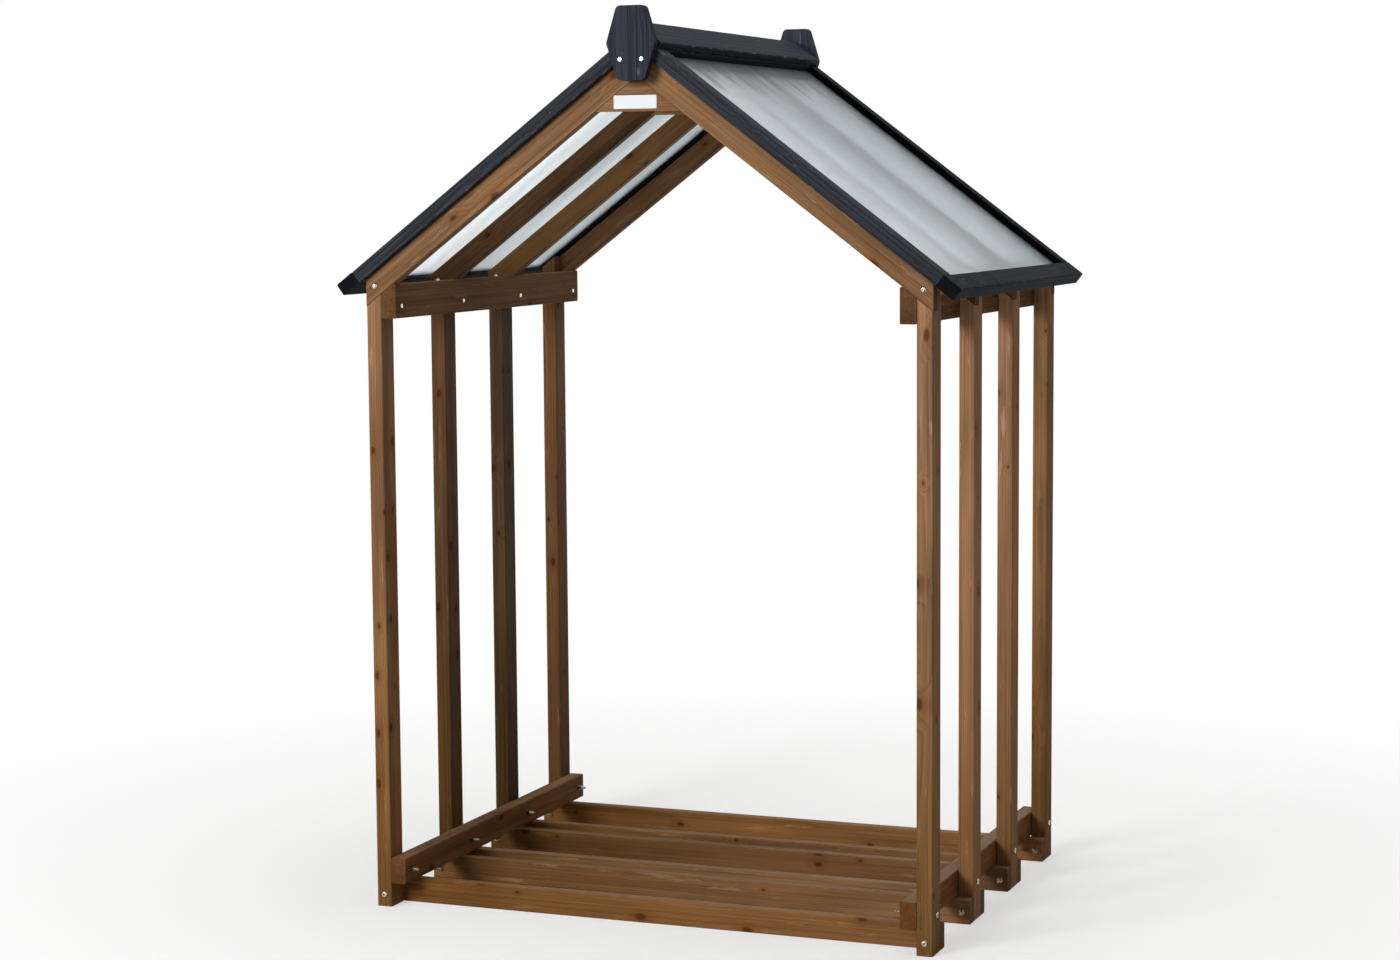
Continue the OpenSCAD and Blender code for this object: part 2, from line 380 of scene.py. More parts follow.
def stained_timber():
    material, tree, shader = start_material("stained_timber")
    place, grain, wear = board_inputs(tree, TIMBER_RING, TIMBER_KNOTS)
    fibres = math_node(tree, "MULTIPLY_ADD", grain["Fibre"], 0.55, -0.12)
    stripes = math_node(tree, "MULTIPLY_ADD", grain["Rings"], 0.50, fibres, clamp=True)
    colour = colour_mix(tree, stripes, EARLY_WOOD, LATE_WOOD)
    patch = fade(tree, grain["Blotch"], 0.35, 0.65, 0.68, 1.28)
    colour = colour_mix(tree, 1.0, colour, join(tree, patch, patch, patch), "MULTIPLY")
    fleck = stretched_noise(tree, place, FLECK_STRETCH, detail=3.0, rough=0.6)
    colour = colour_mix(tree, fade(tree, fleck, 0.61, 0.72, 0.0, 0.55), colour, PALE_FLECK)
    colour = overlay(tree, colour, grain["Halo"], strength=0.40, over=KNOT_HALO)
    colour = overlay(tree, colour, grain["Knot"], strength=0.80, over=KNOT_HEART)
    colour = overlay(tree, colour, wear.outputs["Wear"], strength=0.20, over=RUBBED_EDGE)
    colour = toned(tree, colour)
    colour = overlay(tree, colour, read(tree, "cut")["Fac"], strength=0.70, over=SAWN_END)
    fading = fade(tree, grain["Blotch"], 0.36, 0.62, 0.10, 0.52)
    colour = overlay(tree, colour, read(tree, "up")["Fac"], strength=fading, over=FADED_TOP)
    roughness = fade(tree, grain["Fibre"], 0.2, 0.8, 0.58, 0.76)
    wood_surface(tree, shader, colour, roughness, specular=0.04, relief=0.35, height=grain["Height"])
    return material


TIMBER = stained_timber()
print("material", TIMBER.name, len(TIMBER.node_tree.nodes), "nodes")

# %% [markdown]
# ## Black painted boards
# The roof boards are the same softwood under thin black paint. A flat black would hide that, so the grain is
# kept: it stands out as grey streaks, sawn ends drink the paint and look darker, and here and there a face
# is scuffed or an edge rubbed pale.

# %% Black paint
BLACK_FILM, GREY_GRAIN = (0.008, 0.010, 0.014, 1.0), (0.070, 0.078, 0.094, 1.0)
THIN_FILM, BLACK_KNOT = (0.050, 0.056, 0.066, 1.0), (0.008, 0.009, 0.011, 1.0)
BLACK_END, SCUFFED = (0.006, 0.007, 0.009, 1.0), (0.20, 0.21, 0.22, 1.0)
RUBBED_PAINT = (0.30, 0.31, 0.32, 1.0)
PAINTED_RING, PAINTED_KNOTS = 0.0075, 0.6
PAINT_WEAR = {"Width": 0.0035, "Break": 0.54}
SCUFF_STRETCH = (22.0, 150.0, 150.0)


def black_paint():
    material, tree, shader = start_material("black_trim")
    place, grain, wear = board_inputs(tree, PAINTED_RING, PAINTED_KNOTS)
    for name, value in PAINT_WEAR.items():
        wear.inputs[name].default_value = value
    fibres = math_node(tree, "MULTIPLY_ADD", grain["Fibre"], 0.9, -0.26)
    streak = math_node(tree, "MULTIPLY_ADD", grain["Rings"], 0.27, fibres, clamp=True)
    colour = colour_mix(tree, streak, BLACK_FILM, GREY_GRAIN)
    colour = colour_mix(tree, fade(tree, grain["Blotch"], 0.45, 0.8, 0.0, 0.35), colour, THIN_FILM)
    colour = overlay(tree, colour, grain["Knot"], strength=0.5, over=BLACK_KNOT)
    colour = overlay(tree, colour, read(tree, "cut")["Fac"], strength=0.8, over=BLACK_END)
    scuff = stretched_noise(tree, place, SCUFF_STRETCH, detail=4.0, rough=0.7)
    colour = colour_mix(tree, fade(tree, scuff, 0.62, 0.76, 0.0, 0.55), colour, SCUFFED)
    colour = overlay(tree, colour, wear.outputs["Wear"], strength=0.55, over=RUBBED_PAINT)
    colour = toned(tree, colour)
    roughness = fade(tree, grain["Fibre"], 0.25, 0.75, 0.56, 0.76)
    wood_surface(tree, shader, colour, roughness, specular=0.02, relief=0.2, height=grain["Height"])
    return material


PAINT = black_paint()
print("material", PAINT.name, len(PAINT.node_tree.nodes), "nodes")

# %% [markdown]
# ## Frosted sheet
# The roof sheets let light through but no picture: light is bent by a rough surface. A half clear, half
# white mix would be quicker, but rough transmission also glows from below, as the real sheet does. Long
# soft streaks of painted sheen run down the slope, a painted highlight makes the front and the lower part
# brighter than the rear and the top, and a feathered painted shadow and reflection of the ridge board lies
# under the ridge.

# %% Frosted sheet
SHEET_SHADE, SHEET_LIGHT = (0.54, 0.60, 0.62, 1.0), (0.88, 0.93, 0.95, 1.0)
RIDGE_SHADE = (0.24, 0.27, 0.29, 1.0)
SHEEN_STREAKS, SHEET_FEATHERS = (0.35, 7.0, 7.0), (3.0, 24.0, 24.0)
SHEET_SPECKS = (300.0, 300.0, 300.0)
sheet_low, sheet_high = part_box("right_roof_sheet")
SHEET_TOP = -0.5 * (sheet_high - sheet_low).xz.length
SHADE_ENDS, SHADE_STARTS = SHEET_TOP + 0.28, SHEET_TOP + 0.20


def frosted_sheet():
    material, tree, shader = start_material("roof_sheet")
    board = read(tree, "board")["Vector"]
    along = split(tree, board)
    streak = stretched_noise(tree, board, SHEEN_STREAKS)
    feather = stretched_noise(tree, board, SHEET_FEATHERS, detail=3.0)
    speck = stretched_noise(tree, board, SHEET_SPECKS)
    # painted highlight: the lower part and the front of the sheet are lighter, with streaks of painted sheen
    lower_highlight = fade(tree, along[0], low=-0.30, high=0.34, to_low=-0.05, to_high=0.15)
    front_highlight = fade(tree, along[1], low=-0.06, high=-0.28, to_low=0.0, to_high=0.85)
    sheet_highlight = math_node(tree, "ADD", lower_highlight, front_highlight)
    light = math_node(tree, "MULTIPLY_ADD", streak, 0.45, sheet_highlight, clamp=True)
    colour = colour_mix(tree, light, SHEET_SHADE, SHEET_LIGHT)
    # painted shadow and reflection of the ridge board, feathered, near the top of the sheet
    near_ridge = math_node(tree, "MULTIPLY_ADD", feather, 0.32, along[0])
    shade = fade(tree, near_ridge, SHADE_ENDS, SHADE_STARTS, 0.0, 0.75)
    colour = toned(tree, colour_mix(tree, shade, colour, RIDGE_SHADE))
    tree.links.new(colour, shader.inputs["Base Color"])
    tree.links.new(math_node(tree, "MULTIPLY_ADD", speck, 0.10, 0.90), shader.inputs["Roughness"])
    shader.inputs["Transmission Weight"].default_value = 0.95
    shader.inputs["IOR"].default_value = 1.45
    shader.inputs["Coat Weight"].default_value = 0.25
    shader.inputs["Coat Roughness"].default_value = 0.10
    return material


SHEET = frosted_sheet()
print("material", SHEET.name, "half slope", round(-SHEET_TOP, 4))

# %% [markdown]
# ## Zinc and white plastic
# The fasteners are zinc plated, with an uneven film that is mixed by fine noise. One finish would do for all,
# but in the picture they differ: bolt heads are yellowish, nuts and bolt tails are darker, partly duller zinc
# and partly a painted shade of the dark bay they sit in, and screws are bright. So one function makes three
# finishes. The plate on the gable is plain white plastic and stays bare.

# %% Zinc and plate
FILM_SCALE, MOTTLE_SCALE = 420.0, 160.0
PLATE_SHADE, PLATE_LIGHT = (0.62, 0.645, 0.67, 1.0), (0.68, 0.70, 0.725, 1.0)


def zinc_plated(name, dull, bright, smooth, rough):
    material, tree, shader = start_material(name)
    place = add(tree, "ShaderNodeTexCoord").outputs["Object"]
    film = noise(tree, place, FILM_SCALE, detail=3.0, rough=0.6)
    colour = colour_mix(tree, fade(tree, film, 0.35, 0.65), dull, bright)
    tree.links.new(colour, shader.inputs["Base Color"])
    tree.links.new(fade(tree, film, 0.3, 0.7, smooth, rough), shader.inputs["Roughness"])
    shader.inputs["Metallic"].default_value = 1.0
    return material


def white_plastic():
    material, tree, shader = start_material("white_plate")
    place = add(tree, "ShaderNodeTexCoord").outputs["Object"]
    mottle = noise(tree, place, MOTTLE_SCALE, detail=3.0, rough=0.5)
    tree.links.new(colour_mix(tree, mottle, PLATE_SHADE, PLATE_LIGHT), shader.inputs["Base Color"])
    tree.links.new(fade(tree, mottle, 0.3, 0.7, 0.28, 0.40), shader.inputs["Roughness"])
    return material


ZINC = zinc_plated("zinc", dull=(0.11, 0.095, 0.060, 1.0), bright=(0.70, 0.66, 0.54, 1.0),
                   smooth=0.12, rough=0.30)
# the dark film of the nuts is partly duller zinc and partly a painted shade
DULL_SHADED_ZINC = zinc_plated("dull_shaded_zinc", dull=(0.045, 0.038, 0.024, 1.0), bright=(0.40, 0.36, 0.26, 1.0),
                        smooth=0.12, rough=0.30)
BRIGHT_ZINC = zinc_plated("bright_zinc", dull=(0.78, 0.78, 0.77, 1.0), bright=(0.95, 0.95, 0.94, 1.0),
                          smooth=0.25, rough=0.40)
PLATE_WHITE = white_plastic()
print("materials", ZINC.name, DULL_SHADED_ZINC.name, BRIGHT_ZINC.name, PLATE_WHITE.name)

# %% [markdown]
# ## Clean copies of the solids
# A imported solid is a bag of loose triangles. It could be shown as it is, but shading would break at every
# triangle. So a copy is merged, its flat faces are joined again, and its rounded edges are shaded smooth.

# %% Clean copies
SMOOTH_UNDER = math.radians(40.0)
FLAT_WITHIN = math.radians(0.5)
SAME_POINT = 1e-6
FIELDS = {"FLOAT": "value", "FLOAT_COLOR": "color", "FLOAT_VECTOR": "vector"}


def write_attribute(mesh, name, kind, domain, values):
    layer = mesh.attributes.new(name, kind, domain)
    layer.data.foreach_set(FIELDS[kind], values)


def board_copy(node):
    mesh = bpy.data.meshes.new("dressed_" + node)
    work = bmesh.new()
    work.from_mesh(nodes[node].data)
    bmesh.ops.remove_doubles(work, verts=work.verts, dist=SAME_POINT)
    bmesh.ops.dissolve_limit(work, angle_limit=FLAT_WITHIN, verts=work.verts, edges=work.edges)
    work.to_mesh(mesh)
    work.free()
    return mesh


def smooth(mesh, under=SMOOTH_UNDER):
    mesh.shade_smooth()
    mesh.set_sharp_from_angle(angle=under)


def show(name, mesh):
    piece = bpy.data.objects.new(name, mesh)
    scene.collection.objects.link(piece)
    return piece


# %% [markdown]
# ## Dressing the boards
# The copy gets the attributes that the wood finishes read: the place along, across and through the board,
# its half section with a seed, its tone, a mark on sawn ends and a mark on faces that look up. A tone may
# run from one end of the board to the other, as a painted shade at one end and a painted light at the other,
# and a board may be reshaped before it is measured.

# %% Board dresser
END_FACING = 0.5
UP_FACING = 0.9
SEED_START = 7
tones = random.Random(SEED_START)


# a ramp from one tone to another along the board, used to paint shade at one end and light at the other
def tone_ramp(lengths, tone, far_tone):
    low, high = min(lengths), max(lengths)
    middle, half = (low + high) / 2, (high - low) / 2
    shades = []
    for length in lengths:
        part = (length - middle) / half * 0.5 + 0.5
        shades += [near * (1 - part) + far * part for near, far in zip(tone, far_tone)] + [1.0]
    return shades


def mark_board(mesh, axes, tone, far_tone, cut):
    count = len(mesh.vertices)
    spans = [[vertex.co.dot(axis) for vertex in mesh.vertices] for axis in axes]
    middles = [(min(span) + max(span)) / 2 for span in spans]
    halves = [(max(span) - min(span)) / 2 for span in spans]
    place = [spans[axis][i] - middles[axis] for i in range(count) for axis in range(3)]
    section = [halves[1], halves[2], tones.random()]
    ends = [cut if abs(face.normal.dot(axes[0])) > END_FACING else 0.0 for face in mesh.polygons]
    ups = [1.0 if face.normal.z > UP_FACING else 0.0 for face in mesh.polygons]
    write_attribute(mesh, "board", "FLOAT_VECTOR", "POINT", place)
    write_attribute(mesh, "section", "FLOAT_VECTOR", "POINT", section * count)
    write_attribute(mesh, "tone", "FLOAT_COLOR", "POINT", tone_ramp(spans[0], tone, far_tone))
    write_attribute(mesh, "cut", "FLOAT", "FACE", ends)
    write_attribute(mesh, "up", "FLOAT", "FACE", ups)


def dress(node, axes, material, tone, far_tone=None, cut=1.0, reshape=None):
    mesh = board_copy(node)
    if reshape:
        reshape(mesh)
    mark_board(mesh, [axis.normalized() for axis in axes], tone, far_tone or tone, cut)
    smooth(mesh)
    mesh.materials.append(material)
    piece = show("dressed_" + node, mesh)
    evener = piece.modifiers.new("even_shading", "WEIGHTED_NORMAL")
    evener.mode = "FACE_AREA"
    evener.keep_sharp = True
    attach(piece, "root")
    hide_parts(node)
    return piece


print("dresser ready, seeds start from", SEED_START)

# %% [markdown]
# ## Directions and tones
# Grain runs along each timber: up the posts, along the rails, across the bearers and down the rafters. One
# tone for all would look like plastic, so the tones follow what shows in the picture: some boards are greyer
# or darker than their neighbours. The second and third left posts are darker partly in their own colour and
# partly as a painted shade, and the rafters behind the front pair are darkened as a painted shade under the
# roof. Posts are darker at the foot than at the head, and bearers at the left end than at the right: a
# painted shade at one end and a painted light at the other.

# %% Directions and tones
ROOF_PITCH = math.radians(37.0)
X_AXIS, Y_AXIS, Z_AXIS = Vector((1, 0, 0)), Vector((0, 1, 0)), Vector((0, 0, 1))
DOWN = {"right": Vector((math.cos(ROOF_PITCH), 0, -math.sin(ROOF_PITCH))),
        "left": Vector((-math.cos(ROOF_PITCH), 0, -math.sin(ROOF_PITCH)))}
OFF = {"right": Vector((math.sin(ROOF_PITCH), 0, math.cos(ROOF_PITCH))),
       "left": Vector((-math.sin(ROOF_PITCH), 0, math.cos(ROOF_PITCH)))}
PLAIN, PALE, BRIGHT = (1.0, 1.0, 1.0), (1.15, 1.17, 1.32), (1.30, 1.34, 1.56)
DULL, FAIR, WARM = (0.98, 1.04, 1.16), (0.90, 0.88, 0.86), (0.94, 0.84, 0.68)
RUST, DARK, DIM = (0.66, 0.53, 0.38), (0.64, 0.60, 0.56), (0.56, 0.54, 0.49)
DEEP, GREY_AND_SHADED, DUSK = (0.44, 0.42, 0.41), (0.31, 0.35, 0.42), (0.27, 0.27, 0.27)
# the second and third left posts are darker partly in their own colour and partly as a painted shade
POST_TONES = {"left": (PLAIN, DEEP, GREY_AND_SHADED, DARK), "right": (PALE, BRIGHT, BRIGHT, PLAIN)}
# the rafters behind the front pair are darkened as a painted shade under the roof
RAFTER_TONES = (DULL, DUSK, DIM, DEEP)
RAIL_TONES = {"bottom_rail": RUST, "top_rail": DIM}
BEARER_TONES = (WARM, FAIR, DULL, DARK, FAIR, WARM)
# painted shade at the foot of the posts and the left end of the bearers, painted light at the head and the
# right end; the front posts have their own pair
FOOT_SHADE, HEAD_LIGHT = (0.74, 0.72, 0.54), (1.14, 1.18, 1.30)
FRONT_POST_SHADED_ENDS = {"left": ((0.84, 0.80, 0.55), (1.00, 1.06, 1.30)),
               "right": ((0.71, 0.71, 0.50), (1.36, 1.47, 1.90))}
RAIL_CUT = 0.45


def shaded_ends(tone):
    return [tuple(a * b for a, b in zip(tone, end)) for end in (FOOT_SHADE, HEAD_LIGHT)]


print("post tones", {side: len(row) for side, row in POST_TONES.items()})

# %% [markdown]
# ## Frame timbers
# The frame is posts, rails, bearers, rafters and gussets, each a node of its own. They are dressed one after
# the other by loops, because each draws the next seed.

# %% Dress the frame
timbers = []
for side in ("left", "right"):
    for i in range(4):
        ends = shaded_ends(POST_TONES[side][i]) if i else FRONT_POST_SHADED_ENDS[side]
        timbers.append(dress(f"{side}_post_{i + 1}", (Z_AXIS, X_AXIS, Y_AXIS), TIMBER, *ends))
        slope = (DOWN[side], OFF[side], Y_AXIS)
        timbers.append(dress(f"{side}_rafter_{i + 1}", slope, TIMBER, RAFTER_TONES[i]))
    for rail, tone in RAIL_TONES.items():
        timbers.append(dress(f"{side}_{rail}", (Y_AXIS, Z_AXIS, X_AXIS), TIMBER, tone, cut=RAIL_CUT))
for i, tone in enumerate(BEARER_TONES):
    timbers.append(dress(f"bearer_{i + 1}", (X_AXIS, Z_AXIS, Y_AXIS), TIMBER, *shaded_ends(tone)))
for i in range(4):
    timbers.append(dress(f"gusset_{i + 1}", (X_AXIS, Z_AXIS, Y_AXIS), TIMBER, DULL))
print("timbers", len(timbers), "faces", sum(len(piece.data.polygons) for piece in timbers))

# %% [markdown]
# ## Seat of the roof sheets
# Each sheet lies in a groove of the boards round it. The picture shows the sheets 8 mm deeper than the packed
# solids have them. The sheet alone could be moved, but it would leave its groove, so the points that lie
# between the two faces of the boards are moved in the boards and the sheet alike.

# %% Lower the seat
SEAT_DROP = 0.008
EDGE_CLEAR = 0.004


def lower_seat(side):
    off = OFF[side]
    levels = [vertex.co.dot(off) for vertex in nodes[f"{side}_front_verge"].data.vertices]
    lowest, highest = min(levels) + EDGE_CLEAR, max(levels) - EDGE_CLEAR

    def move(mesh):
        moved = [vertex for vertex in mesh.vertices if lowest < vertex.co.dot(off) < highest]
        for vertex in moved:
            vertex.co -= off * SEAT_DROP
        print("seat lowered", mesh.name, len(moved), "of", len(mesh.vertices), "points")

    return move


print("seat drop", SEAT_DROP)

# %% [markdown]
# ## Roof boards and sheets
# The black boards are dressed in the same way, with their own paint. The front verges get a lighter tone,
# partly worn paint and partly a painted sheen, and the rear ones a near black tone, a painted shade, because
# they lie in the dark. The right sheet gets a darker tone, a painted shade. The sheets keep their length
# direction down the slope, because their streaks run that way.

# %% Dress the roof
# the near black tone of the rear verges is a painted shade
REAR_VERGE_SHADE, TAR = (0.06, 0.07, 0.07), (0.48, 0.52, 0.54)
# the light tone of the front verges is partly worn paint and partly a painted sheen
SLATE, WORN_AND_SHEEN = (0.98, 1.02, 1.04), (1.28, 1.24, 1.20)
VERGE_TONES = {"front_verge": WORN_AND_SHEEN, "rear_verge": REAR_VERGE_SHADE}
SEATED_TONES = {"eave_board": TAR, "head_board": TAR}
# the right sheet, seen from above, is darkened as a painted shade; the left one, seen from below, keeps about
# its full tone
SHEET_SIDE_SHADING = {"left": (1.02, 1.00, 0.99), "right": (0.74, 0.755, 0.76)}
FINIAL_TONES = {"front_finial": (1.15, 1.18, 1.28), "rear_finial": (1.60, 1.60, 1.65)}
roof = []
for side in ("left", "right"):
    seat = lower_seat(side)
    down, off = DOWN[side], OFF[side]
    for board, tone in VERGE_TONES.items():
        roof.append(dress(f"{side}_{board}", (down, off, Y_AXIS), PAINT, tone, reshape=seat))
    for board, tone in SEATED_TONES.items():
        roof.append(dress(f"{side}_{board}", (Y_AXIS, down, off), PAINT, tone, reshape=seat))
    roof.append(dress(f"{side}_ridge_board", (Y_AXIS, down, off), PAINT, SLATE))
    roof.append(dress(f"{side}_roof_sheet", (down, Y_AXIS, off), SHEET, SHEET_SIDE_SHADING[side], reshape=seat))
for finial, tone in FINIAL_TONES.items():
    roof.append(dress(finial, (Z_AXIS, X_AXIS, Y_AXIS), PAINT, tone))
print("roof pieces", len(roof))

# %% [markdown]
# ## Fasteners
# Bolts, nuts and screws repeat, so Geometry Nodes place them: one tree makes a head from a cylinder whose
# top is pushed out and drawn in, cuts the drive recess, and copies it to every point, turned to face out of
# the wood. Copying objects by hand would work too, but a tree keeps each size as a named input.

# %% Geometry tree helpers
def geometry_tree(name, sizes):
    tree = bpy.data.node_groups.new(name, "GeometryNodeTree")
    tree.interface.new_socket("Geometry", in_out="INPUT", socket_type="NodeSocketGeometry")
    for label, value in sizes.items():
        socket = tree.interface.new_socket(label, in_out="INPUT", socket_type="NodeSocketFloat")
        socket.default_value = value
    tree.interface.new_socket("Geometry", in_out="OUTPUT", socket_type="NodeSocketGeometry")
    return tree, tree.nodes.new("NodeGroupInput").outputs, tree.nodes.new("NodeGroupOutput").inputs


def lifted(tree, geometry, height):
    rise = join(tree, z=height)
    return add(tree, "GeometryNodeTransform", None, Geometry=geometry, Translation=rise).outputs[0]


def cylinder(tree, sides, radius, depth, base):
    tube = add(tree, "GeometryNodeMeshCylinder", None, Vertices=sides, Radius=radius, Depth=depth)
    middle = math_node(tree, "ADD", base, math_node(tree, "MULTIPLY", depth, 0.5))
    return lifted(tree, tube.outputs["Mesh"], middle), tube.outputs["Top"]


def drawn_in(tree, geometry, top, rise, narrowing):
    pushed = add(tree, "GeometryNodeExtrudeMesh", {"mode": "FACES"}, Mesh=geometry, Selection=top,
                 Offset_Scale=rise).outputs
    scaled = add(tree, "GeometryNodeScaleElements", {"domain": "FACE"}, Geometry=pushed["Mesh"],
                 Selection=pushed["Top"], Scale=narrowing)
    return scaled.outputs[0], pushed["Top"]


def cut_out(tree, body, tool):
    settings = {"operation": "DIFFERENCE", "solver": "EXACT"}
    return add(tree, "GeometryNodeMeshBoolean", settings, i0=body, i1=tool)


def placed(tree, take, give, geometry, material):
    settings = {"data_type": "FLOAT_VECTOR"}
    facing = add(tree, "GeometryNodeInputNamedAttribute", settings, Name="out").outputs[0]
    turn = add(tree, "FunctionNodeAlignRotationToVector", {"axis": "Z"}, Vector=facing).outputs[0]
    copies = add(tree, "GeometryNodeInstanceOnPoints", None, Points=take["Geometry"], Instance=geometry,
                 Rotation=turn)
    real = add(tree, "GeometryNodeRealizeInstances", None, Geometry=copies.outputs[0])
    done = add(tree, "GeometryNodeSetMaterial", None, Geometry=real.outputs[0], Material=material)
    tree.links.new(done.outputs[0], give["Geometry"])


print("geometry helpers ready")

# %% [markdown]
# ### Bolt heads
# The bolts are button heads with a hexagon socket. Three rings that rise and draw in make the dome, which
# needs fewer faces than a sphere, and a six-sided prism is cut out of it.

# %% Bolt head tree
HEAD_SIZES = {"Radius": 0.0062, "Height": 0.0036, "Socket": 0.0023}
RIM_SHARE = 0.4
ROUND_SIDES, HEXAGON_SIDES = 28, 6
DOME_STEPS = ((0.25, 0.90), (0.22, 0.80), (0.13, 0.68))
SOCKET_FLOOR = 0.45


def bolt_head_tree():
    tree, take, give = geometry_tree("button_head", HEAD_SIZES)
    rim_height = math_node(tree, "MULTIPLY", take["Height"], RIM_SHARE)
    dome, top = cylinder(tree, ROUND_SIDES, take["Radius"], rim_height, 0.0)
    for share, narrowing in DOME_STEPS:
        dome, top = drawn_in(tree, dome, top, math_node(tree, "MULTIPLY", take["Height"], share), narrowing)
    socket_floor = math_node(tree, "MULTIPLY", take["Height"], SOCKET_FLOOR)
    hexagon, _ = cylinder(tree, HEXAGON_SIDES, take["Socket"], take["Height"], socket_floor)
    placed(tree, take, give, cut_out(tree, dome, hexagon).outputs[0], ZINC)
    return tree


print("bolt head", HEAD_SIZES)

# %% [markdown]
# ### Nuts with bolt tails
# Inside the bay each bolt ends in a washer, a nut and a bare length of thread. A true thread is a helix, but
# at this size a stack of short cones, one for each turn, looks the same and closes cleanly.

# %% Nut tree
NUT_SIZES = {"Washer Radius": 0.0066, "Washer Thickness": 0.0012, "Flat": 0.0058, "Nut Height": 0.0048,
             "Chamfer": 0.0006, "Tail Radius": 0.0029, "Tail Base": 0.001, "Tail Length": 0.0165,
             "Pitch": 0.001}
NUT_NARROWING = 0.86
CORE_SHARE, CREST_SHARE, CREST_HEIGHT = 0.88, 0.86, 0.9
THREAD_SIDES = 16


def thread(tree, take):
    turns = math_node(tree, "FLOOR", math_node(tree, "DIVIDE", take["Tail Length"], take["Pitch"]))
    line = add(tree, "GeometryNodeMeshLine", None, Count=turns,
               Start_Location=join(tree, z=take["Washer Thickness"]), Offset=join(tree, z=take["Pitch"]))
    crest = add(tree, "GeometryNodeMeshCone", None, Vertices=THREAD_SIDES, Radius_Bottom=take["Tail Radius"],
                Radius_Top=math_node(tree, "MULTIPLY", take["Tail Radius"], CREST_SHARE),
                Depth=math_node(tree, "MULTIPLY", take["Pitch"], CREST_HEIGHT))
    copies = add(tree, "GeometryNodeInstanceOnPoints", None, Points=line.outputs[0],
                 Instance=crest.outputs["Mesh"])
    return copies.outputs[0]


def nut_tree():
    tree, take, give = geometry_tree("nut_and_tail", NUT_SIZES)
    washer, _ = cylinder(tree, ROUND_SIDES, take["Washer Radius"], take["Washer Thickness"], 0.0)
    nut, top = cylinder(tree, HEXAGON_SIDES, take["Flat"], take["Nut Height"], take["Washer Thickness"])
    nut, _ = drawn_in(tree, nut, top, take["Chamfer"], NUT_NARROWING)
    core_radius = math_node(tree, "MULTIPLY", take["Tail Radius"], CORE_SHARE)
    core, _ = cylinder(tree, THREAD_SIDES, core_radius, take["Tail Length"], take["Tail Base"])
    joined = add(tree, "GeometryNodeJoinGeometry")
    for part in (washer, nut, core, thread(tree, take)):
        tree.links.new(part, joined.inputs[0])
    placed(tree, take, give, joined.outputs[0], DULL_SHADED_ZINC)
    return tree


print("nut", NUT_SIZES)

# %% [markdown]
# ### Screws
# The screws are sunk nearly flush, so only a low disc shows. Two crossed bars are cut out of it for the
# cross recess. The bars overlap, so the cut is told to expect that.

# %% Screw tree
SCREW_SIZES = {"Radius": 0.0042, "Proud": 0.0006, "Depth": 0.0020, "Rise": 0.00025, "Arm Length": 0.0046,
               "Arm Width": 0.0010, "Arm Depth": 0.0024}
DISC_NARROWING = 0.80
DISC_SIDES = 24


def screw_tree():
    tree, take, give = geometry_tree("screw_head", SCREW_SIZES)
    disc_base = math_node(tree, "SUBTRACT", take["Proud"], take["Depth"])
    disc, top = cylinder(tree, DISC_SIDES, take["Radius"], take["Depth"], disc_base)
    disc, _ = drawn_in(tree, disc, top, take["Rise"], DISC_NARROWING)
    arms = add(tree, "GeometryNodeJoinGeometry")
    for x, y in (("Arm Length", "Arm Width"), ("Arm Width", "Arm Length")):
        size = join(tree, take[x], take[y], take["Arm Depth"])
        arm = add(tree, "GeometryNodeMeshCube", None, Size=size)
        tree.links.new(lifted(tree, arm.outputs["Mesh"], take["Proud"]), arms.inputs[0])
    cut = cut_out(tree, disc, arms.outputs[0])
    cut.inputs["Self Intersection"].default_value = True
    placed(tree, take, give, cut.outputs[0], BRIGHT_ZINC)
    return tree


print("screw", SCREW_SIZES)

# %% [markdown]
# ## Where the fasteners go
# The places follow from the boards: bolts sit on the middle line of a post, at the middle height of the
# bearer or rail that they hold, and rafter heels have one bolt each. Each place keeps the direction that
# looks out of the wood.

# %% Fastener places
HEEL_INSET, HEEL_RISE = 0.019, 0.0275
TOP_SCREW_RISE = 0.025
FINIAL_SCREW_SIDE, FINIAL_SCREW_RISE = 0.0225, 0.0405
FORWARD, BACKWARD = (0, -1, 0), (0, 1, 0)
heads, nuts, screws = [], [], []
bearer_low, bearer_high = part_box("bearer_1")
bearer_z = (bearer_low.z + bearer_high.z) / 2


